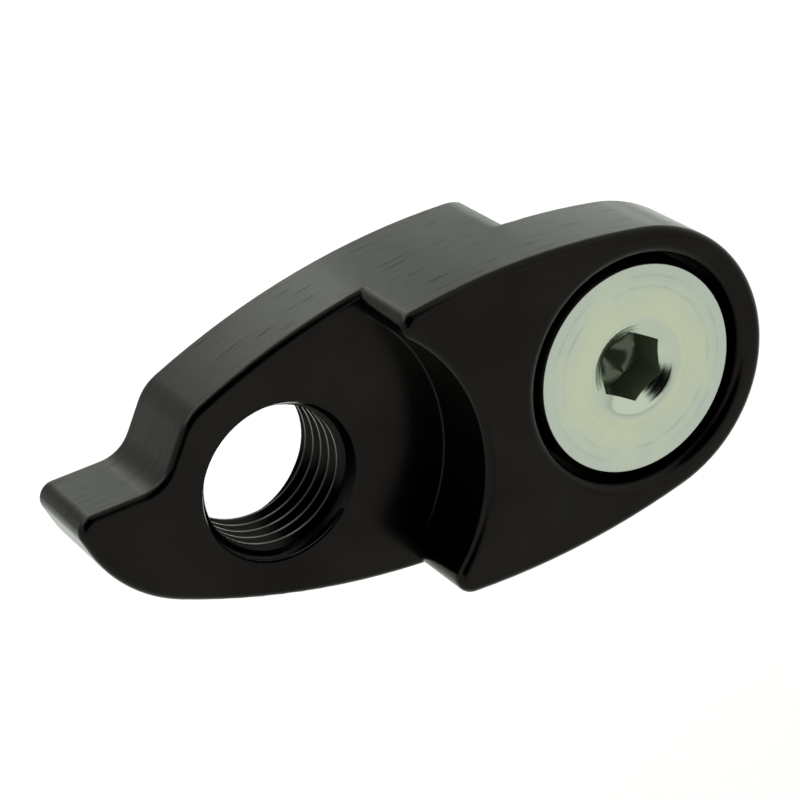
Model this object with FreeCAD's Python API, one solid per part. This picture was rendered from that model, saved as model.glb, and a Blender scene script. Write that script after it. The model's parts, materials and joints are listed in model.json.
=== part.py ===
import FreeCAD, Part
import math
import os

# Derailleur hanger extender: an offset link and the mounting bolt that it carries.
# X runs from the threaded hole to the mounting bolt, Y from the outer side of the
# bicycle to the inner side, the way the bolt points, and Z up. The origin is on the
# bolt's axis, on the face that seats on the bicycle's hanger. All sizes are in millimetres.

# Link, across its thickness
hole_pitch = 22.05        # threaded hole's axis to bolt's axis
seat_thickness = 2.9      # solid depth under the bolt's head
plate_thickness = 6.3     # the end with the threaded hole, set back to the inner side
web = 0.95                # depth that the boss and the plate share
front_round = 0.5         # rounding of the plate's edges on the derailleur's side
boss_round = 0.6          # rounding of the boss's edges on that side
back_round = 0.36         # rounding of the edges on the bicycle's side

# Link, outline
end_radius = 8.95         # round end about the bolt
top_radius = 47.5         # long upper flank
top_crest = 13.65         # its highest point, from the threaded hole's axis
bottom_radius = 48.5      # long lower flank
bottom_crest = 14.05      # its lowest point, from the threaded hole's axis
hanger_radius = 9.35      # hollow at the back, about the bolt, for the bicycle's hanger
neck = 1.68               # solid width left between that hollow and the one in front
stop_round = 2.6          # rounded tips of the plate beside the hanger
stop_reach = 2.8          # how far short of the bolt's axis those tips would end
stop_edge = 0.7           # rounding where a tip meets the hollow
boss_top_corner = 0.9     # rounding where the hollow in front meets the upper flank
boss_bottom_corner = 1.1  # and the lower flank
hollow_slope = 0.08       # left by the cutter where that hollow meets the plate's face

# Nose, the stop for the derailleur's adjusting screw
nose_reach = 12.86        # sharp tip, out from the threaded hole's axis
nose_top = 2.7            # its flat top at the foot of the ramp, above the axes
nose_rise = 0.17          # from there to the tip
nose_lean = 18.5          # its end face from upright, in degrees
nose_round = 1.0
chin_round = 9.0          # end face into the lower flank
ramp_reach = 7.0          # foot of the ramp behind the nose, out from the hole's axis
ramp_slope = 56.0         # in degrees
ramp_foot_round = 2.4
shoulder_round = 3.0

# Threaded hole, at the minor diameter of a 10 mm thread of 1 mm pitch
thread_minor_radius = 4.46
mouth_widening = 0.55     # countersink on the derailleur's side, in radius
mouth_depth = 1.0
back_chamfer = 0.2

# Mounting bolt
shank_radius = 5.0
shank_reach = 7.5         # past the seating face, through the bicycle's hanger
shank_chamfer = 0.7
relief_width = 2.0        # groove where the thread ends, level with the seating face
relief_depth = 0.65       # below the thread's root
head_radius = 6.9
head_height = 2.68
head_chamfer = 0.35       # in radius
head_chamfer_depth = 0.6
head_recess = 0.52        # below the boss's outer face
hex_across_flats = 4.0
hex_depth = 3.2
hex_turn = 26.0           # first corner from the X axis, in degrees
socket_mouth_radius = 3.15
socket_mouth_depth = 0.65 # of the countersink, down to the middle of a flat
drill_point = 118.0       # tip angle of the pilot hole's drill, in degrees

# Fits
head_clearance = 0.35     # round the head, in radius
rim_round = 0.75          # edge of the counterbore
shank_clearance = 0.2     # round the shank, in radius

# Places along Y
head_seat = -seat_thickness
head_face = head_seat - head_height
boss_front = head_face - head_recess
plate_front = -web
plate_back = plate_front + plate_thickness

# Radius of the hollow in front, about the threaded hole, for the derailleur's knuckle
knuckle_radius = hole_pitch - hanger_radius - neck

NEAR = 1e-4
ROOM_SHARE = 0.9          # most that a rounding takes of the side or corner next to it
FRONT_SHARE = 0.58        # most that the roundings of the plate's front and the boss's back
BACK_SHARE = 0.4          # take of the depth that the boss and the plate share
ALONG_Y = FreeCAD.Vector(0, 1, 0)


def at(x, z):
    return FreeCAD.Vector(x, 0, z)


bolt_axis = at(0, 0)
thread_axis = at(-hole_pitch, 0)


def flank_centre(radius, crest, side):
    """Centre of a flank that touches the round end, above (side 1) or below (side -1)."""
    x = thread_axis.x + crest
    return at(x, -side * math.sqrt((radius - end_radius) ** 2 - x ** 2))


def flank_touch(centre):
    """Where a flank runs into the round end."""
    return bolt_axis + (bolt_axis - centre).normalize() * end_radius


def flank_tip(centre, radius, side):
    """Centre of the rounded tip that lies inside a flank."""
    x = -stop_reach - stop_round
    z = centre.z + side * math.sqrt((radius - stop_round) ** 2 - (x - centre.x) ** 2)
    return at(x, z)


def circles_meet(first, first_radius, second, second_radius, side):
    """The meeting point of two circles, to the left (1) or the right (-1) of the way from first to second."""
    way = second - first
    apart = way.Length
    along = (apart ** 2 + first_radius ** 2 - second_radius ** 2) / (2 * apart)
    across = math.sqrt(first_radius ** 2 - along ** 2)
    way.normalize()
    return first + way * along + at(-way.z, way.x) * (side * across)


def line_meets_circle(start, way, centre, radius):
    """Where a line leaves a circle."""
    along = (centre - start).dot(way)
    near = start + way * along
    return near + way * math.sqrt(radius ** 2 - (near - centre).Length ** 2)


def line(start, end):
    return Part.LineSegment(start, end).toShape()


def arc(start, end, centre):
    """The shorter arc from start to end."""
    radius = (start - centre).Length
    middle = centre + (start + end - centre * 2).normalize() * radius
    return Part.Arc(start, middle, end).toShape()


def prism(edges, y_from, y_to):
    face = Part.Face(Part.Wire(edges))
    face.translate(ALONG_Y * y_from)
    return face.extrude(ALONG_Y * (y_to - y_from))


def stands_at(vertex, corner):
    return math.hypot(vertex.X - corner.x, vertex.Z - corner.z) < NEAR


def round_corner(solid, corner, radius):
    """Rounds the edge along Y that stands at a corner of the outline."""
    edges = [edge for edge in solid.Edges if all(stands_at(vertex, corner) for vertex in edge.Vertexes)]
    return solid.makeFillet(radius, edges)


def most_rounding(solid, corner):
    """The largest radius that the two sides at a corner of the outline leave room for."""
    there = [edge for edge in solid.Edges if any(stands_at(vertex, corner) for vertex in edge.Vertexes)]
    front = min(edge.BoundBox.YMin for edge in there)
    sides = [edge for edge in there if edge.BoundBox.YMax - front < NEAR]
    ways = []
    for edge in sides:
        leaves = stands_at(Part.Vertex(edge.valueAt(edge.FirstParameter)), corner)
        ways.append(edge.tangentAt(edge.FirstParameter) if leaves else -edge.tangentAt(edge.LastParameter))
    turn = math.pi - ways[0].getAngle(ways[1])
    return ROOM_SHARE * min(edge.Length for edge in sides) / math.tan(turn / 2)


def round_rim(solid, y, radius):
    """Rounds the edges of the flat face at a place along Y."""
    flat = [edge for edge in solid.Edges if edge.BoundBox.YLength < NEAR]
    return solid.makeFillet(radius, [edge for edge in flat if abs(edge.BoundBox.YMin - y) < NEAR])


def turned(profile, angle=360):
    """A solid turned about the bolt's axis, from (radius, y) points."""
    points = [FreeCAD.Vector(radius, y, 0) for radius, y in profile]
    face = Part.Face(Part.makePolygon(points + points[:1]))
    return face.revolve(bolt_axis, ALONG_Y, angle)


def moved(solid, place):
    solid.translate(place)
    return solid


top_centre = flank_centre(top_radius, top_crest, 1)
bottom_centre = flank_centre(bottom_radius, bottom_crest, -1)


def make_plate():
    """The end with the threaded hole: nose, flanks, and two tips beside the hollow for the hanger."""
    nose_tip = thread_axis + at(-nose_reach, nose_top + nose_rise)
    ramp_foot = thread_axis + at(-ramp_reach, nose_top)
    lean = math.radians(nose_lean)
    slope = math.radians(ramp_slope)
    chin = line_meets_circle(nose_tip, at(math.sin(lean), -math.cos(lean)), bottom_centre, bottom_radius)
    shoulder = line_meets_circle(ramp_foot, at(math.cos(slope), math.sin(slope)), top_centre, top_radius)
    upper = flank_tip(top_centre, top_radius, 1)
    lower = flank_tip(bottom_centre, bottom_radius, -1)
    upper_start = top_centre + (upper - top_centre).normalize() * top_radius
    lower_start = bottom_centre + (lower - bottom_centre).normalize() * bottom_radius
    upper_end = circles_meet(upper, stop_round, bolt_axis, hanger_radius, 1)
    lower_end = circles_meet(lower, stop_round, bolt_axis, hanger_radius, -1)
    plate = prism([
        line(nose_tip, ramp_foot),
        line(ramp_foot, shoulder),
        arc(shoulder, upper_start, top_centre),
        arc(upper_start, upper_end, upper),
        Part.Arc(upper_end, at(-hanger_radius, 0), lower_end).toShape(),
        arc(lower_end, lower_start, lower),
        arc(lower_start, chin, bottom_centre),
        line(chin, nose_tip),
    ], plate_front, plate_back)
    for corner, radius in (
        (ramp_foot, ramp_foot_round),
        (shoulder, shoulder_round),
        (nose_tip, nose_round),
        (chin, chin_round),
    ):
        plate = round_corner(plate, corner, min(radius, most_rounding(plate, corner)))
    for corner in (upper_end, lower_end):
        plate = round_corner(plate, corner, stop_edge)
    room = ROOM_SHARE * min(nose_round, stop_edge)
    plate = round_rim(plate, plate_front, min(front_round, FRONT_SHARE * web, room))
    return round_rim(plate, plate_back, min(back_round, room))


def make_boss():
    """The end that carries the bolt: a drop shape, hollowed about the threaded hole for the knuckle."""
    upper_touch = flank_touch(top_centre)
    lower_touch = flank_touch(bottom_centre)
    upper_corner = circles_meet(thread_axis, knuckle_radius, top_centre, top_radius, 1)
    lower_corner = circles_meet(thread_axis, knuckle_radius, bottom_centre, bottom_radius, -1)
    boss = prism([
        arc(upper_corner, upper_touch, top_centre),
        Part.Arc(upper_touch, at(end_radius, 0), lower_touch).toShape(),
        arc(lower_touch, lower_corner, bottom_centre),
        arc(lower_corner, upper_corner, thread_axis),
    ], boss_front, 0)
    boss = round_corner(boss, upper_corner, boss_top_corner)
    boss = round_corner(boss, lower_corner, boss_bottom_corner)
    room = ROOM_SHARE * min(boss_top_corner, boss_bottom_corner)
    boss = round_rim(boss, boss_front, min(boss_round, room))
    return round_rim(boss, 0, min(back_round, BACK_SHARE * web))


def make_threaded_hole():
    """The space of the threaded hole, with its two chamfers."""
    mouth_radius = thread_minor_radius + mouth_widening
    back_radius = thread_minor_radius + back_chamfer
    return moved(turned([
        (0, plate_front),
        (mouth_radius, plate_front),
        (thread_minor_radius, plate_front + mouth_depth),
        (thread_minor_radius, plate_back - back_chamfer),
        (back_radius, plate_back),
        (0, plate_back),
    ]), thread_axis)


def make_bolt_hole():
    """The space for the bolt: a counterbore with a rounded rim, and a clearance hole."""
    bore = head_radius + head_clearance
    clear = shank_radius + shank_clearance
    rim = Part.makeTorus(bore + rim_round, rim_round, FreeCAD.Vector(0, boss_front + rim_round, 0), ALONG_Y)
    flare = turned([
        (0, boss_front),
        (bore + rim_round, boss_front),
        (bore + rim_round, boss_front + rim_round),
        (0, boss_front + rim_round),
    ]).cut(rim)
    return turned([
        (0, boss_front),
        (bore, boss_front),
        (bore, head_seat),
        (clear, head_seat),
        (clear, 0),
        (0, 0),
    ]).fuse(flare)


def make_hollow_foot():
    """The slope along the foot of the hollow in front, between the roundings of the boss's corners."""
    def wall_end(centre, radius, rounding, side):
        wall_radius = knuckle_radius + rounding
        way = circles_meet(thread_axis, wall_radius, centre, radius - rounding, side) - thread_axis
        return math.degrees(math.atan2(way.z, way.x))
    upper = wall_end(top_centre, top_radius, boss_top_corner, 1)
    lower = wall_end(bottom_centre, bottom_radius, boss_bottom_corner, -1)
    foot = turned([
        (knuckle_radius - hollow_slope, plate_front),
        (knuckle_radius, plate_front - hollow_slope),
        (knuckle_radius + hollow_slope, plate_front - hollow_slope),
        (knuckle_radius + hollow_slope, plate_front + hollow_slope),
        (knuckle_radius - hollow_slope, plate_front + hollow_slope),
    ], upper - lower)
    foot.rotate(bolt_axis, ALONG_Y, -upper)
    return moved(foot, thread_axis)


def make_link_body():
    """The offset link, milled from one piece."""
    link = make_boss().fuse([make_plate(), make_hollow_foot()])
    link = link.removeSplitter().cut(make_threaded_hole()).cut(make_bolt_hole())
    return link.removeSplitter().Solids[0]


def make_hex_socket():
    """The space of the bolt's hex socket: countersunk mouth, six flats, and the pilot drill's cone."""
    corner_radius = hex_across_flats / math.sqrt(3)
    inner_radius = hex_across_flats / 2
    corners = []
    for number in range(6):
        angle = math.radians(hex_turn + 60 * number)
        corners.append(FreeCAD.Vector(
            corner_radius * math.cos(angle), head_face, corner_radius * math.sin(angle)))
    flats = Part.Face(Part.makePolygon(corners + corners[:1])).extrude(ALONG_Y * hex_depth)
    mouth = turned([
        (0, head_face),
        (socket_mouth_radius, head_face),
        (inner_radius, head_face + socket_mouth_depth),
        (0, head_face + socket_mouth_depth),
    ])
    floor = head_face + hex_depth
    point_depth = inner_radius / math.tan(math.radians(drill_point / 2))
    point = turned([(0, floor), (inner_radius, floor), (0, floor + point_depth)])
    return flats.fuse([mouth, point])


def make_mounting_bolt():
    """Head, plain shoulder, relief groove and threaded end, with the hex socket cut out."""
    bolt = turned([
        (0, head_face),
        (head_radius - head_chamfer, head_face),
        (head_radius, head_face + head_chamfer_depth),
        (head_radius, head_seat),
        (shank_radius, head_seat),
        (shank_radius, -relief_width),
        (shank_radius - relief_depth, relief_depth - relief_width),
        (shank_radius - relief_depth, -relief_depth),
        (shank_radius, 0),
        (shank_radius, shank_reach - shank_chamfer),
        (shank_radius - shank_chamfer, shank_reach),
        (0, shank_reach),
    ])
    return bolt.cut(make_hex_socket()).Solids[0]


os.makedirs("parts", exist_ok=True)
for name, solid in (("link_body", make_link_body()), ("mounting_bolt", make_mounting_bolt())):
    print(name, solid.ShapeType, len(solid.Solids), solid.isValid(), round(solid.Volume, 1))
    solid.exportStep("parts/" + name + ".step")
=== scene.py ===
import json
import math

import bmesh
import bpy
from mathutils import Matrix, Vector


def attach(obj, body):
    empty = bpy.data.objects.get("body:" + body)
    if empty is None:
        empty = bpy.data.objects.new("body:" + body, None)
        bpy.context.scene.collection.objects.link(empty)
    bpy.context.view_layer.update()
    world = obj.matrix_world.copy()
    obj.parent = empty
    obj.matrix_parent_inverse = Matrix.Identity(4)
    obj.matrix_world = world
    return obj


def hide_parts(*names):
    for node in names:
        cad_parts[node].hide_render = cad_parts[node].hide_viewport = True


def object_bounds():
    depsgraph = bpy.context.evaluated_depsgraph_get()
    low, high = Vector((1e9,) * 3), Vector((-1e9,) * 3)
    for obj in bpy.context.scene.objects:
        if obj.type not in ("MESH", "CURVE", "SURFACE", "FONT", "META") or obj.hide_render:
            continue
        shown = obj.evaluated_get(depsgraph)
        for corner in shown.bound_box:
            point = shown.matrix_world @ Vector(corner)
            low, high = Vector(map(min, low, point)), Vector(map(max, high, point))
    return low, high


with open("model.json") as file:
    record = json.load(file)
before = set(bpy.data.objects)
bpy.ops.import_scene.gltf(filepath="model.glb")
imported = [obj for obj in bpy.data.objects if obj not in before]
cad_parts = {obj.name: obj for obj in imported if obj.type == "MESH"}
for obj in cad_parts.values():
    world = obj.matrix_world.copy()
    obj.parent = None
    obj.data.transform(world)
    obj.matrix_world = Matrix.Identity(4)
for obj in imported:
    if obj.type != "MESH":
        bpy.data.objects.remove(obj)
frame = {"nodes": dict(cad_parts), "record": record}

# Derailleur hanger extender: a black offset link and the plated bolt that it carries.
# X runs from the threaded hole to the bolt, Y the way the bolt points, Z up, in metres.

bl_info = {
    "name": "Derailleur hanger extender",
    "version": (1, 0, 0),
    "blender": (4, 5, 0),
    "location": "View3D > Sidebar > Extender",
    "description": "Dresses the offset link and its mounting bolt, and sets a plain studio round them",
    "category": "Object",
}

MM = 0.001
CAD_BOX = [list(corner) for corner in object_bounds()]
MOUNTS = {mount["name"]: mount for mount in frame["record"]["mounts"]}

# The bolt's head and its socket, as the solid has them
HEAD_FACE = -5.58 * MM          # the outer face, along Y
SOCKET_MOUTH = 3.15 * MM        # radius of the countersunk mouth
SOCKET_MOUTH_DEPTH = 0.65 * MM  # depth of the mouth's cone
HEX_HALF_WIDTH = 2.0 * MM       # half the hex across its flats
SOCKET_SLOPE = SOCKET_MOUTH_DEPTH / (SOCKET_MOUTH - HEX_HALF_WIDTH)

# Where the socket's painted shade and its mouth's own finish begin and end
SOCKET_REACH = 2.5 * MM         # wider than the hex, narrower than its mouth
CONE_FADE = 0.15 * MM           # depth over which the socket's painted shade fades in, past the cone
MOUTH_FADE = 0.1 * MM           # width in which the mouth's finish ends
SOCKET_SHADE_METAL = 0.3              # how metallic the socket's painted shade still is; less metal darkens it further

# Levels between which a pattern comes in
MARK_LEVELS = (0.35, 0.75)      # noise of the cutter marks
GRAIN_LEVELS = (0.3, 0.7)       # noise of the oxide's grain
SCRATCH_LEVELS = (0.59, 0.74)   # noise of the scratches, of which only the peaks show
FLAT_LEVELS = (0.3, 0.7)        # share of a normal that lies along Y, from flank to flat face
CAST_LEVELS = (0.35, 0.9)       # sums that give the plating's middle colour and its edge colour
CAST_SHIFT = (-0.15, 0.6)       # added to the clouds' noise for that sum, at the cast's near and far radius
FEED_LEVELS = (0.52, 0.75)      # noise of the feed marks
PATCH_LEVELS = (0.42, 0.62)     # noise of the patches in which the feed marks show

# Sockets of a Mix node for colours, whose names stand there once for each kind of data
MIX_FROM = 6
MIX_TO = 7
MIX_RESULT = 2

WHITE = (1, 1, 1, 1)
MERGE_DISTANCE = 1e-4 * MM
SHARP_ANGLE = math.radians(34)  # a fold beyond this stays a sharp edge
HELIX_STEPS = 72                # points in one turn of a thread
CARD_SIDES = 96
SENSOR_WIDTH = 36               # in millimetres, as the lens
NEAR_CLIP = 10 * MM


def linear(code):
    """An sRGB hex colour as linear red, green and blue."""
    levels = [int(code[place:place + 2], 16) / 255 for place in (0, 2, 4)]
    return [level / 12.92 if level <= 0.04045 else ((level + 0.055) / 1.055) ** 2.4 for level in levels]


def length(name, description, millimetres):
    return bpy.props.FloatProperty(
        name=name, description=description, default=millimetres * MM, unit="LENGTH", precision=5)


def point(name, description, millimetres):
    return bpy.props.FloatVectorProperty(
        name=name, description=description, default=[value * MM for value in millimetres],
        subtype="TRANSLATION", precision=5)


def colour(name, description, code):
    return bpy.props.FloatVectorProperty(
        name=name, description=description, default=linear(code), subtype="COLOR", min=0, max=1)


def share(name, description, value):
    return bpy.props.FloatProperty(
        name=name, description=description, default=value, subtype="FACTOR", min=0, max=1)


def angle(name, description, degrees):
    return bpy.props.FloatProperty(
        name=name, description=description, default=math.radians(degrees), subtype="ANGLE")


def number(name, description, value):
    return bpy.props.FloatProperty(name=name, description=description, default=value)


class ThreadSizes(bpy.types.PropertyGroup):
    """Both threads, the hole's and the bolt's."""
    pitch: length("Pitch", "One turn of either thread", 1.0)
    flank: angle("Flank angle", "Each side of the groove from square to the axis", 30)
    hole_root: length("Hole root radius", "Bottom of the groove in the hole", 4.93)
    hole_crest: length("Hole crest width", "Flat left between two turns in the hole", 0.17)
    hole_phase: length(
        "Hole phase", "Where a groove passes the side of the hole next to the bolt, along Y", -0.063)
    hole_lead: number("Hole lead", "Turns of the cutter in front of the hole phase", 2)
    hole_turns: number("Hole turns", "Turns of the cutter, which passes both faces of the plate", 8)
    hole_overlap: length("Hole overlap", "How far the cutter stands out of the hole's wall", 0.12)
    bolt_root: length("Bolt root radius", "Bottom of the groove on the bolt", 4.39)
    bolt_crest: length("Bolt crest width", "Flat left between two turns on the bolt", 0.125)
    bolt_start: length("Bolt start", "Where the groove starts, in the relief, along Y", -0.85)
    bolt_turns: number("Bolt turns", "Turns of the cutter, which passes the bolt's end", 9)
    bolt_overlap: length("Bolt overlap", "How far the cutter stands out of the bolt's side", 0.05)


class LinkFinish(bpy.types.PropertyGroup):
    """Black anodised aluminium of the link."""
    black: colour("Black", "Dyed oxide, as it mirrors straight on", "1D1B1A")
    worn: colour("Pale black", "Dyed oxide along the cutter marks", "242320")
    roughness: share("Roughness", "Middle roughness of the oxide", 0.22)
    roughness_spread: share("Roughness spread", "How far the grain goes above and below it", 0.04)
    sheen: colour("Sheen", "Cast of the oxide where it mirrors at a low angle", "FAFFF9")
    scratch: colour("Scratch", "The same in the cutter's scratches", "D8DCD7")
    mark_spacing: length("Mark spacing", "Across the cutter marks", 0.16)
    mark_length: length("Mark length", "Along the cutter marks", 9.0)
    scratch_spacing: length("Scratch spacing", "Across the cutter's scratches", 0.22)
    scratch_length: length("Scratch length", "Along the cutter's scratches", 3.2)
    grain: length("Grain", "Grain of the oxide, really about 0.02 mm, drawn coarser so that it shows", 0.09)


class BoltFinish(bpy.types.PropertyGroup):
    """Zinc plated steel of the bolt."""
    middle: colour("Middle", "Plating round the socket", "C3CCB0")
    edge: colour("Edge", "Plating towards the rim", "B9C4B6")
    mouth: colour("Mouth", "Plating on the cone of the socket's mouth", "BAC5B2")
    # Painted shade: this colour darkens the socket's recess past its cone, and it also gives the feed marks
    # their darker tone
    socket: colour("Socket", "Inside the socket, where the plating is thin and dull", "66745A")
    roughness: share("Roughness", "Roughness of the plating", 0.22)
    mouth_roughness: share("Mouth roughness", "Roughness in the socket's freshly cut mouth", 0.12)
    ring_spacing: length("Ring spacing", "Between turning marks", 0.16)
    ring_depth: length("Ring depth", "Depth of the turning marks", 0.0012)
    mouth_depth: length("Mouth ring depth", "Depth of the cutter's rings in the socket's mouth", 0.006)
    feed_spacing: length("Feed spacing", "Between the tool's wider feed marks", 0.38)
    feed_shade: share("Feed shade", "How far the feed marks darken the plating", 0.16)
    cloud: length("Cloud", "Size of the patches of one cast", 2.6)
    cast_near: length("Cast near", "Radius at which the edge's cast sets in", 4.0)
    cast_far: length("Cast far", "Radius at which it is full", 7.0)


class StageSetup(bpy.types.PropertyGroup):
    """Camera, floor and lamps."""
    lens: bpy.props.FloatProperty(
        name="Lens", description="Focal length of the camera", default=126, unit="CAMERA")
    target: point("Target", "The point that the camera looks at", (-13.494, -0.95, 1.905))
    azimuth: angle("Azimuth", "Which way the camera looks, from +Y towards +X", 24.492)
    elevation: angle("Elevation", "How far the camera looks down", 27.452)
    roll: angle("Roll", "How far the camera leans", -11.693)
    distance: length("Distance", "From the camera to the point it looks at", 165.061)
    room_light: share("Room light", "Level of the room that lights the floor", 0.4)
    floor_drop: length("Floor drop", "From the object's lowest point to the floor", 40.0)
    floor_reach: length("Floor reach", "From the floor's middle to its sides", 3000.0)
    floor_white: colour("Floor", "Matt white floor", "F4F4F2")
    floor_glow: share("Floor glow", "What the floor gains where it is seen, so that it stays white", 0.3)
    card_width: length("Card width", "Dark oval card about the lens, from its middle", 138.0)
    card_height: length("Card height", "From its middle to its top", 210.0)
    card_lift: length("Card lift", "Its middle above the lens", 60.0)
    card_gap: length("Card gap", "From the lens back to the card", 4.0)
    card_fade: share("Card fade", "Where the card begins to fade, from its middle to its rim", 0.75)
    lamp_target: point("Lamp target", "The point that both lamps face", (-10, 0, 0))
    overhead_place: point("Overhead place", "Middle of the overhead lamp", (-120, 200, 300))
    overhead_width: length("Overhead width", "Longer side of the overhead lamp", 600)
    overhead_height: length("Overhead height", "Shorter side of the overhead lamp", 220)
    overhead_level: number("Overhead level", "Brightness of the overhead lamp's face, where 1 is white", 2.4)
    back_place: point("Back place", "Middle of the back lamp", (200, 400, 140))
    back_width: length("Back width", "Longer side of the back lamp", 450)
    back_height: length("Back height", "Shorter side of the back lamp", 260)
    back_level: number("Back level", "Brightness of the back lamp's face, where 1 is white", 0.5)


class ExtenderSettings(bpy.types.PropertyGroup):
    """All sizes and colours of the scene."""
    thread: bpy.props.PointerProperty(type=ThreadSizes)
    link: bpy.props.PointerProperty(type=LinkFinish)
    bolt: bpy.props.PointerProperty(type=BoltFinish)
    stage: bpy.props.PointerProperty(type=StageSetup)


def add_node(tree, kind, sockets, **settings):
    """A node with its settings, and its inputs set or linked."""
    node = tree.nodes.new(kind)
    for name, value in settings.items():
        setattr(node, name, value)
    for name, value in sockets.items():
        if isinstance(value, bpy.types.NodeSocket):
            tree.links.new(value, node.inputs[name])
        else:
            node.inputs[name].default_value = value
    return node


def between(levels):
    """The sockets that a range is read between."""
    return {"From Min": levels[0], "From Max": levels[1]}


def add_object(name, mesh):
    made = bpy.data.objects.new(name, mesh)
    bpy.context.scene.collection.objects.link(made)
    return made


def plain_mesh(source):
    """The evaluated shape of an object as a mesh of its own."""
    bpy.context.view_layer.update()
    graph = bpy.context.evaluated_depsgraph_get()
    return bpy.data.meshes.new_from_object(source.evaluated_get(graph))


def merged_copy(name, node):
    """A CAD node's mesh as one closed skin."""
    mesh = bpy.data.meshes.new(name)
    skin = bmesh.new()
    skin.from_mesh(frame["nodes"][node].data)
    # Long fan triangles on the roundings give way to even strips
    bmesh.ops.beautify_fill(skin, faces=skin.faces[:], edges=skin.edges[:], method="ANGLE")
    bmesh.ops.remove_doubles(skin, verts=skin.verts, dist=MERGE_DISTANCE)
    skin.to_mesh(mesh)
    skin.free()
    if "custom_normal" in mesh.attributes:
        mesh.attributes.remove(mesh.attributes["custom_normal"])
    return add_object(name, mesh)


def groove_tree(material):
    """Sweeps a groove's section along a right-hand helix about Y."""
    tree = bpy.data.node_groups.new("Thread groove", "GeometryNodeTree")
    tree.interface.new_socket("Start", in_out="INPUT", socket_type="NodeSocketVector")
    for name in ("Pitch", "Turns", "Inner Radius", "Outer Radius", "Inner Width", "Outer Width"):
        tree.interface.new_socket(name, in_out="INPUT", socket_type="NodeSocketFloat")
    tree.interface.new_socket("Groove", in_out="OUTPUT", socket_type="NodeSocketGeometry")
    sizes = add_node(tree, "NodeGroupInput", {}).outputs
    total = add_node(tree, "ShaderNodeMath", {
        0: sizes["Inner Radius"], 1: sizes["Outer Radius"]}, operation="ADD")
    middle = add_node(tree, "ShaderNodeMath", {0: total.outputs[0], 1: 0.5}, operation="MULTIPLY")
    depth = add_node(tree, "ShaderNodeMath", {
        0: sizes["Outer Radius"], 1: sizes["Inner Radius"]}, operation="SUBTRACT")
    reach = add_node(tree, "ShaderNodeMath", {0: sizes["Pitch"], 1: sizes["Turns"]}, operation="MULTIPLY")
    helix = add_node(tree, "GeometryNodeCurveSpiral", {
        "Resolution": HELIX_STEPS, "Rotations": sizes["Turns"], "Start Radius": middle.outputs[0],
        "End Radius": middle.outputs[0], "Height": reach.outputs[0], "Reverse": True})
    upright = add_node(tree, "GeometryNodeSetCurveNormal", {"Curve": helix.outputs[0]}, mode="Z_UP")
    section = add_node(tree, "GeometryNodeCurvePrimitiveQuadrilateral", {
        "Height": depth.outputs[0], "Bottom Width": sizes["Outer Width"], "Top Width": sizes["Inner Width"],
        "Offset": 0}, mode="TRAPEZOID")
    turned = add_node(tree, "GeometryNodeTransform", {
        "Geometry": section.outputs[0], "Rotation": (0, 0, math.radians(90))})
    swept = add_node(tree, "GeometryNodeCurveToMesh", {
        "Curve": upright.outputs[0], "Profile Curve": turned.outputs[0], "Fill Caps": True})
    along_y = add_node(tree, "GeometryNodeTransform", {
        "Geometry": swept.outputs[0], "Translation": sizes["Start"],
        "Rotation": (math.radians(-90), 0, 0)})
    real = add_node(tree, "GeometryNodeRealizeInstances", {"Geometry": along_y.outputs[0]})
    painted = add_node(tree, "GeometryNodeSetMaterial", {"Geometry": real.outputs[0], "Material": material})
    add_node(tree, "NodeGroupOutput", {"Groove": painted.outputs[0]})
    return tree


def cut_thread(piece, material, **sizes):
    """Cuts a helical groove out of a piece."""
    cutter = add_object(piece.name + "_groove", bpy.data.meshes.new(piece.name + "_groove"))
    helix = cutter.modifiers.new("Helix", "NODES")
    helix.node_group = groove_tree(material)
    for item in helix.node_group.interface.items_tree:
        if item.in_out == "INPUT":
            helix[item.identifier] = sizes[item.name.lower().replace(" ", "_")]
    cutter.data = plain_mesh(cutter)
    cutter.modifiers.remove(helix)
    cut = piece.modifiers.new("Groove", "BOOLEAN")
    cut.operation = "DIFFERENCE"
    cut.solver = "EXACT"
    cut.object = cutter
    piece.data = plain_mesh(piece)
    piece.modifiers.remove(cut)
    bpy.data.objects.remove(cutter)
    if not piece.data.polygons:
        raise RuntimeError(f"Cutting the thread left nothing of {piece.name}")


def finish_skin(piece, material):
    """Smooth roundings between flat faces, and the piece's one material."""
    piece.data.shade_smooth()
    piece.data.set_sharp_from_angle(angle=SHARP_ANGLE)
    even = piece.modifiers.new("Even normals", "WEIGHTED_NORMAL")
    even.mode = "FACE_AREA_WITH_ANGLE"
    even.keep_sharp = True
    piece.data = plain_mesh(piece)
    piece.modifiers.remove(even)
    piece.data.materials.clear()
    piece.data.materials.append(material)


def new_material(name):
    material = bpy.data.materials.new(name)
    material.use_nodes = True
    material.node_tree.nodes.clear()
    return material, material.node_tree


def cutter_noise(tree, place, spacing, reach, detail):
    """Noise drawn out lengthwise, along X and Z, and fine across, along Y."""
    drawn = add_node(tree, "ShaderNodeMapping", {
        "Vector": place.outputs["Object"], "Scale": (1 / reach, 1 / spacing, 1 / reach)})
    noise = add_node(tree, "ShaderNodeTexNoise", {
        "Vector": drawn.outputs[0], "Scale": 1.0, "Detail": detail, "Roughness": 0.6})
    return noise.outputs["Fac"]


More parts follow.
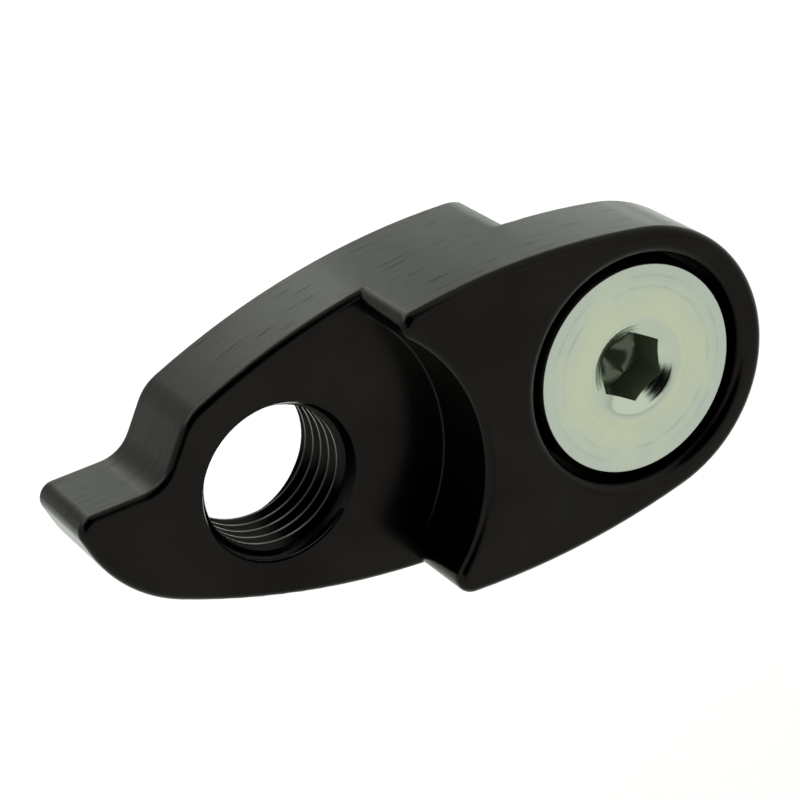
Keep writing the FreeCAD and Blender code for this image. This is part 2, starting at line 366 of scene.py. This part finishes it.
def black_anodised_aluminium(finish):
    """Aluminium, milled and then black anodised: a clear oxide dyed nearly black, which shows no colour
    of its own straight on, turns grey where it mirrors the light at a low angle, and lets the cutter's
    lengthwise scratches show on the flanks as fine dark dashes."""
    material, tree = new_material("black_anodised_aluminium")
    place = add_node(tree, "ShaderNodeTexCoord", {})
    marks = cutter_noise(tree, place, finish.mark_spacing, finish.mark_length, 3.0)
    tint = add_node(tree, "ShaderNodeValToRGB", {"Fac": marks})
    for stop, level, shown in zip(tint.color_ramp.elements, MARK_LEVELS, (finish.black, finish.worn)):
        stop.position = level
        stop.color = (*shown, 1)
    grain = add_node(tree, "ShaderNodeTexNoise", {
        "Vector": place.outputs["Object"], "Scale": 1 / finish.grain, "Detail": 2.0, "Roughness": 0.5})
    rough = add_node(tree, "ShaderNodeMapRange", {
        "Value": grain.outputs["Fac"], **between(GRAIN_LEVELS),
        "To Min": finish.roughness - finish.roughness_spread,
        "To Max": finish.roughness + finish.roughness_spread})
    scratches = cutter_noise(tree, place, finish.scratch_spacing, finish.scratch_length, 2.0)
    scratched = add_node(tree, "ShaderNodeMapRange", {"Value": scratches, **between(SCRATCH_LEVELS)})
    # Scratches stay on the flanks, which the cutter's side milled, and off the flat front and back
    facing = add_node(tree, "ShaderNodeSeparateXYZ", {"Vector": place.outputs["Normal"]})
    flatness = add_node(tree, "ShaderNodeMath", {0: facing.outputs["Y"]}, operation="ABSOLUTE")
    flank = add_node(tree, "ShaderNodeMapRange", {
        "Value": flatness.outputs[0], **between(FLAT_LEVELS), "To Min": 1.0, "To Max": 0.0})
    on_flank = add_node(tree, "ShaderNodeMath", {
        0: scratched.outputs[0], 1: flank.outputs[0]}, operation="MULTIPLY")
    mirror = add_node(tree, "ShaderNodeMix", {
        "Factor": on_flank.outputs[0], MIX_FROM: (*finish.sheen, 1), MIX_TO: (*finish.scratch, 1)},
        data_type="RGBA")
    shader = add_node(tree, "ShaderNodeBsdfPrincipled", {
        "Base Color": tint.outputs["Color"], "Metallic": 1.0, "Roughness": rough.outputs[0],
        "Specular Tint": mirror.outputs[MIX_RESULT]})
    add_node(tree, "ShaderNodeOutputMaterial", {"Surface": shader.outputs[0]})
    return material


def ring_noise(tree, radius, spacing, detail):
    """Noise in rings about the bolt's axis."""
    turns = add_node(tree, "ShaderNodeMath", {0: radius, 1: 1 / spacing}, operation="MULTIPLY")
    noise = add_node(tree, "ShaderNodeTexNoise", {
        "W": turns.outputs[0], "Scale": 1.0, "Detail": detail, "Roughness": 0.6}, noise_dimensions="1D")
    return noise.outputs["Fac"]


def plating_colour(tree, finish, place, radius):
    """Yellow-green that turns bluish towards the rim, with feed marks that show in patches."""
    clouds = add_node(tree, "ShaderNodeTexNoise", {
        "Vector": place.outputs["Object"], "Scale": 1 / finish.cloud, "Detail": 2.0, "Roughness": 0.5})
    outward = add_node(tree, "ShaderNodeMapRange", {
        "Value": radius, **between((finish.cast_near, finish.cast_far)),
        "To Min": CAST_SHIFT[0], "To Max": CAST_SHIFT[1]})
    blue = add_node(tree, "ShaderNodeMath", {
        0: outward.outputs[0], 1: clouds.outputs["Fac"]}, operation="ADD")
    cast = add_node(tree, "ShaderNodeValToRGB", {"Fac": blue.outputs[0]})
    for stop, level, shown in zip(cast.color_ramp.elements, CAST_LEVELS, (finish.middle, finish.edge)):
        stop.position = level
        stop.color = (*shown, 1)
    feed_marks = ring_noise(tree, radius, finish.feed_spacing, 2.0)
    shade = add_node(tree, "ShaderNodeMapRange", {
        "Value": feed_marks, **between(FEED_LEVELS), "To Max": finish.feed_shade})
    patches = add_node(tree, "ShaderNodeMapRange", {
        "Value": clouds.outputs["Fac"], **between(PATCH_LEVELS)})
    patchy = add_node(tree, "ShaderNodeMath", {
        0: shade.outputs[0], 1: patches.outputs[0]}, operation="MULTIPLY")
    marked = add_node(tree, "ShaderNodeMix", {
        "Factor": patchy.outputs[0], MIX_FROM: cast.outputs["Color"], MIX_TO: (*finish.socket, 1)},
        data_type="RGBA")
    return marked.outputs[MIX_RESULT]


def socket_parts(tree, place, radius):
    """Where the socket's painted shade goes, past its cone, and where its mouth is, each from 0 to 1."""
    height = add_node(tree, "ShaderNodeSeparateXYZ", {"Vector": place.outputs["Object"]})
    in_head = add_node(tree, "ShaderNodeMath", {0: height.outputs["Y"], 1: 0.0}, operation="LESS_THAN")
    # On the cone, depth falls in step with radius, so this sum is the same all over it
    sunk = add_node(tree, "ShaderNodeMath", {
        0: radius, 1: SOCKET_SLOPE, 2: height.outputs["Y"]}, operation="MULTIPLY_ADD")
    cone = SOCKET_SLOPE * SOCKET_MOUTH + HEAD_FACE
    past_cone = add_node(tree, "ShaderNodeMapRange", {
        "Value": sunk.outputs[0], **between((cone, cone + CONE_FADE))})
    near_axis = add_node(tree, "ShaderNodeMath", {0: radius, 1: SOCKET_REACH}, operation="LESS_THAN")
    both = add_node(tree, "ShaderNodeMath", {
        0: near_axis.outputs[0], 1: in_head.outputs[0]}, operation="MULTIPLY")
    painted_socket_shade = add_node(tree, "ShaderNodeMath", {
        0: both.outputs[0], 1: past_cone.outputs[0]}, operation="MULTIPLY")
    near_mouth = add_node(tree, "ShaderNodeMapRange", {
        "Value": radius, **between((SOCKET_MOUTH, SOCKET_MOUTH + MOUTH_FADE)), "To Min": 1.0, "To Max": 0.0})
    mouth = add_node(tree, "ShaderNodeMath", {
        0: near_mouth.outputs[0], 1: in_head.outputs[0]}, operation="MULTIPLY")
    return painted_socket_shade.outputs[0], mouth.outputs[0]


def zinc_plated_steel(finish):
    """Turned steel, zinc plated and passivated: a soft pale metal with a yellow-green cast that turns
    bluish towards the rim, over faint concentric turning marks. The cutter left the socket's mouth
    shinier. The socket's recess past its cone is painted darker and less metallic, as painted shade."""
    material, tree = new_material("zinc_plated_steel")
    place = add_node(tree, "ShaderNodeTexCoord", {})
    flat = add_node(tree, "ShaderNodeVectorMath", {
        0: place.outputs["Object"], 1: (1, 0, 1)}, operation="MULTIPLY")
    from_axis = add_node(tree, "ShaderNodeVectorMath", {0: flat.outputs[0]}, operation="LENGTH")
    radius = from_axis.outputs["Value"]
    painted_socket_shade, mouth = socket_parts(tree, place, radius)
    cut = add_node(tree, "ShaderNodeMix", {
        "Factor": mouth, MIX_FROM: plating_colour(tree, finish, place, radius),
        MIX_TO: (*finish.mouth, 1)}, data_type="RGBA")
    # Painted shade: the socket's recess takes the darker socket colour
    plated = add_node(tree, "ShaderNodeMix", {
        "Factor": painted_socket_shade, MIX_FROM: cut.outputs[MIX_RESULT], MIX_TO: (*finish.socket, 1)}, data_type="RGBA")
    rough = add_node(tree, "ShaderNodeMapRange", {
        "Value": mouth, "To Min": finish.roughness, "To Max": finish.mouth_roughness})
    # Painted shade: less metal in the socket's recess darkens it further
    metal = add_node(tree, "ShaderNodeMapRange", {"Value": painted_socket_shade, "To Min": 1.0, "To Max": SOCKET_SHADE_METAL})
    depth = add_node(tree, "ShaderNodeMapRange", {
        "Value": mouth, "To Min": finish.ring_depth, "To Max": finish.mouth_depth})
    relief = add_node(tree, "ShaderNodeBump", {
        "Strength": 1.0, "Distance": depth.outputs[0],
        "Height": ring_noise(tree, radius, finish.ring_spacing, 3.0)})
    shader = add_node(tree, "ShaderNodeBsdfPrincipled", {
        "Base Color": plated.outputs[MIX_RESULT], "Metallic": metal.outputs[0], "Roughness": rough.outputs[0],
        "Normal": relief.outputs[0]})
    add_node(tree, "ShaderNodeOutputMaterial", {"Surface": shader.outputs[0]})
    return material


class EXTENDER_OT_link_body(bpy.types.Operator):
    """Makes the black link with its threaded hole"""
    bl_idname = "extender.link_body"
    bl_label = "Link body"

    def execute(self, context):
        settings = context.scene.extender
        thread = settings.thread
        hole = MOUNTS["derailleur_thread"]
        axis = Vector(hole["pos_m"])
        minor = hole["dims"]["r_mm"] * MM
        spread = 2 * math.tan(thread.flank)
        open_width = thread.pitch - thread.hole_crest
        material = black_anodised_aluminium(settings.link)
        link = merged_copy("offset_link", "link_body")
        cut_thread(
            link, material,
            start=(axis.x, thread.hole_phase - thread.hole_lead * thread.pitch, axis.z),
            pitch=thread.pitch, turns=thread.hole_turns,
            inner_radius=minor - thread.hole_overlap, outer_radius=thread.hole_root,
            inner_width=open_width + spread * thread.hole_overlap,
            outer_width=open_width - spread * (thread.hole_root - minor))
        finish_skin(link, material)
        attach(link, "link")
        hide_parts("link_body")
        return {"FINISHED"}


class EXTENDER_OT_mounting_bolt(bpy.types.Operator):
    """Makes the plated bolt with its thread"""
    bl_idname = "extender.mounting_bolt"
    bl_label = "Mounting bolt"

    def execute(self, context):
        settings = context.scene.extender
        thread = settings.thread
        major = MOUNTS["hanger_thread"]["dims"]["r_mm"] * MM
        spread = 2 * math.tan(thread.flank)
        open_width = thread.pitch - thread.bolt_crest
        material = zinc_plated_steel(settings.bolt)
        bolt = merged_copy("plated_bolt", "mounting_bolt")
        cut_thread(
            bolt, material,
            start=(0, thread.bolt_start, 0), pitch=thread.pitch, turns=thread.bolt_turns,
            inner_radius=thread.bolt_root, outer_radius=major + thread.bolt_overlap,
            inner_width=open_width - spread * (major - thread.bolt_root),
            outer_width=open_width + spread * thread.bolt_overlap)
        finish_skin(bolt, material)
        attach(bolt, "bolt")
        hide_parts("mounting_bolt")
        return {"FINISHED"}


def seen_rays(tree):
    """1 for what the camera sees, straight or in a mirror or through glass, and 0 for plain lighting."""
    path = add_node(tree, "ShaderNodeLightPath", {})
    mirrored = add_node(tree, "ShaderNodeMath", {
        0: path.outputs["Is Camera Ray"], 1: path.outputs["Is Glossy Ray"]}, operation="MAXIMUM")
    seen = add_node(tree, "ShaderNodeMath", {
        0: mirrored.outputs[0], 1: path.outputs["Is Transmission Ray"]}, operation="MAXIMUM")
    return seen.outputs[0]


def white_world(stage):
    """White all round for the camera and in the metal, and a dim room for the floor's own shading."""
    world = bpy.data.worlds.new("studio")
    world.use_nodes = True
    tree = world.node_tree
    tree.nodes.clear()
    level = add_node(tree, "ShaderNodeMapRange", {
        "Value": seen_rays(tree), "To Min": stage.room_light, "To Max": 1.0})
    light = add_node(tree, "ShaderNodeBackground", {"Color": WHITE, "Strength": level.outputs[0]})
    add_node(tree, "ShaderNodeOutputWorld", {"Surface": light.outputs[0]})
    return world


def add_camera(stage, ahead):
    """The camera, set back from its target against the way it looks."""
    lens = bpy.data.cameras.new("camera")
    lens.lens = stage.lens
    lens.sensor_width = SENSOR_WIDTH
    lens.clip_start = NEAR_CLIP
    camera = add_object("camera", lens)
    turn = ahead.to_track_quat("-Z", "Y").to_matrix() @ Matrix.Rotation(stage.roll, 3, "Z")
    place = Vector(stage.target) - ahead * stage.distance
    camera.matrix_world = Matrix.Translation(place) @ turn.to_4x4()
    return camera


def add_floor(stage):
    """A matt white floor that keeps the object's shadow."""
    level = CAD_BOX[0][2] - stage.floor_drop
    reach = stage.floor_reach
    mesh = bpy.data.meshes.new("floor")
    mesh.from_pydata(
        [(-reach, -reach, level), (reach, -reach, level), (reach, reach, level), (-reach, reach, level)],
        [], [(0, 1, 2, 3)])
    material, tree = new_material("matt_white_floor")
    matt = add_node(tree, "ShaderNodeBsdfDiffuse", {"Color": (*stage.floor_white, 1)})
    gain = add_node(tree, "ShaderNodeMath", {0: seen_rays(tree), 1: stage.floor_glow}, operation="MULTIPLY")
    glow = add_node(tree, "ShaderNodeEmission", {"Color": WHITE, "Strength": gain.outputs[0]})
    both = add_node(tree, "ShaderNodeAddShader", {0: matt.outputs[0], 1: glow.outputs[0]})
    add_node(tree, "ShaderNodeOutputMaterial", {"Surface": both.outputs[0]})
    mesh.materials.append(material)
    add_object("floor", mesh)


def add_oval_card(lens_place, ahead, stage):
    """An oval card behind the lens, black and fading to white at its rim, which rounded edges mirror."""
    mesh = bpy.data.meshes.new("oval_card")
    disc = bmesh.new()
    bmesh.ops.create_circle(disc, cap_ends=True, segments=CARD_SIDES, radius=1)
    disc.to_mesh(mesh)
    disc.free()
    material, tree = new_material("oval_card")
    place = add_node(tree, "ShaderNodeTexCoord", {})
    outward = add_node(tree, "ShaderNodeVectorMath", {0: place.outputs["Object"]}, operation="LENGTH")
    level = add_node(tree, "ShaderNodeMapRange", {
        "Value": outward.outputs["Value"], **between((stage.card_fade, 1.0))})
    glow = add_node(tree, "ShaderNodeEmission", {"Color": WHITE, "Strength": level.outputs[0]})
    add_node(tree, "ShaderNodeOutputMaterial", {"Surface": glow.outputs[0]})
    mesh.materials.append(material)
    card = add_object("oval_card", mesh)
    turn = ahead.to_track_quat("-Z", "Y").to_matrix()
    centre = lens_place - ahead * stage.card_gap + turn.col[1] * stage.card_lift
    size = Matrix.Diagonal((stage.card_width, stage.card_height, 1, 1))
    card.matrix_world = Matrix.Translation(centre) @ turn.to_4x4() @ size
    card.visible_camera = False
    card.visible_diffuse = False
    card.visible_shadow = False


def add_softbox(name, place, target, width, height, level):
    """A rectangular lamp with an even face of that brightness."""
    lamp = bpy.data.lights.new(name, "AREA")
    lamp.shape = "RECTANGLE"
    lamp.size = width
    lamp.size_y = height
    lamp.energy = level * math.pi * width * height
    made = add_object(name, lamp)
    made.location = place
    made.rotation_euler = (Vector(target) - Vector(place)).to_track_quat("-Z", "Y").to_euler()


class EXTENDER_OT_stage(bpy.types.Operator):
    """Sets the camera, the white floor and the lamps"""
    bl_idname = "extender.stage"
    bl_label = "Stage"

    def execute(self, context):
        scene = context.scene
        stage = scene.extender.stage
        scene.view_settings.view_transform = "Standard"
        scene.world = white_world(stage)
        level = math.cos(stage.elevation)
        ahead = Vector((
            math.sin(stage.azimuth) * level, math.cos(stage.azimuth) * level, -math.sin(stage.elevation)))
        scene.camera = add_camera(stage, ahead)
        add_floor(stage)
        add_oval_card(scene.camera.location, ahead, stage)
        add_softbox(
            "overhead_softbox", stage.overhead_place, stage.lamp_target,
            stage.overhead_width, stage.overhead_height, stage.overhead_level)
        add_softbox(
            "back_softbox", stage.back_place, stage.lamp_target,
            stage.back_width, stage.back_height, stage.back_level)
        return {"FINISHED"}


class EXTENDER_PT_panel(bpy.types.Panel):
    """Lists the pieces and their settings"""
    bl_idname = "EXTENDER_PT_panel"
    bl_label = "Hanger extender"
    bl_space_type = "VIEW_3D"
    bl_region_type = "UI"
    bl_category = "Extender"

    def draw(self, context):
        for operator in OPERATORS:
            self.layout.operator(operator.bl_idname)
        settings = context.scene.extender
        for group in (settings.thread, settings.link, settings.bolt, settings.stage):
            box = self.layout.box()
            for name in group.bl_rna.properties.keys():
                if name not in ("rna_type", "name"):
                    box.prop(group, name)


GROUPS = (ThreadSizes, LinkFinish, BoltFinish, StageSetup, ExtenderSettings)
OPERATORS = (EXTENDER_OT_link_body, EXTENDER_OT_mounting_bolt, EXTENDER_OT_stage)


def register():
    for made in (*GROUPS, *OPERATORS, EXTENDER_PT_panel):
        bpy.utils.register_class(made)
    bpy.types.Scene.extender = bpy.props.PointerProperty(type=ExtenderSettings)


def unregister():
    del bpy.types.Scene.extender
    for made in reversed((*GROUPS, *OPERATORS, EXTENDER_PT_panel)):
        bpy.utils.unregister_class(made)


def main():
    register()
    bpy.ops.extender.link_body()
    bpy.ops.extender.mounting_bolt()
    bpy.ops.extender.stage()


if __name__ == "__main__":
    main()
